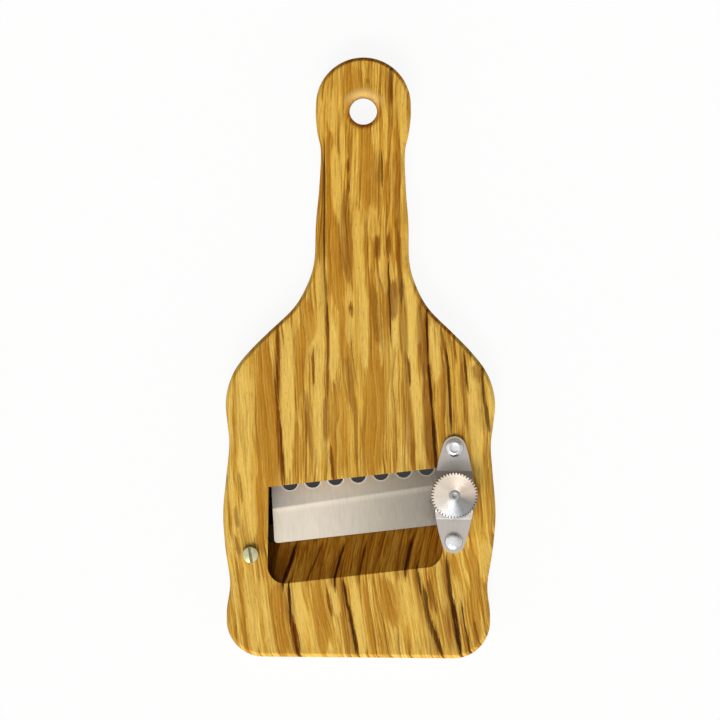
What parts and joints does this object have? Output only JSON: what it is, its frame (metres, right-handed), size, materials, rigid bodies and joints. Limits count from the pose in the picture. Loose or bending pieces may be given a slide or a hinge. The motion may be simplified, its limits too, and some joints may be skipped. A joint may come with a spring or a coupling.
{
  "type": "truffle slicer",
  "caption": "Wooden truffle slicer: a paddle board with a skewed throat, a scalloped steel blade and a serrated thumb knob that sets the slice thickness.",
  "frame": {"origin": "middle of the sole's outline, at the level of the sole, on which the slicer lies", "axes": "+Y along the board to the handle, +Z out of the face where the slices leave, +X to the knob's side"},
  "size_m": [0.118, 0.26, 0.0241],
  "materials": {
    "olive_wood": "oiled olive wood with long dark grain",
    "brushed_plate": "brushed across the plate",
    "rivet_metal": "bright, set by a snap tool",
    "plated_brass": "pale plating",
    "blade_steel": "ground across the blade",
    "screw_steel": "plain turned steel",
    "blued_steel": "blued spring steel",
    "knob_metal": "turned face, serrated rim"
  },
  "bodies": {
    "board": {"board": "olive_wood", "bridge_plate": "brushed_plate", "upper_rivet": "rivet_metal", "lower_rivet": "rivet_metal", "upper_rivet_washer": "plated_brass", "lower_rivet_washer": "plated_brass", "pivot_screw": "plated_brass"},
    "blade": {"blade": "blade_steel", "pivot_plate": "blued_steel", "pivot_bush": "plated_brass", "blade_bush": "plated_brass"},
    "knob": {"knob": "knob_metal", "thumb_screw": "screw_steel", "retaining_clip": "blued_steel", "friction_washer": "blued_steel"}
  },
  "joints": [
    {"name": "knob_turn", "type": "hinge", "parent": "board", "child": "knob", "pos_m": [0.0408, -0.059, 0.018], "axis": [0, 0, 1], "range_deg": [0, 720]},
    {"name": "blade_tilt", "type": "hinge", "parent": "board", "child": "blade", "pos_m": [-0.0469, -0.0857, 0.001], "axis": [-0.1219, 0.9925, 0], "range_deg": [0, 1.02]}
  ],
  "couplings": [
    {"joint": "blade_tilt", "follows": "knob_turn", "ratio": 0.00141}
  ]
}
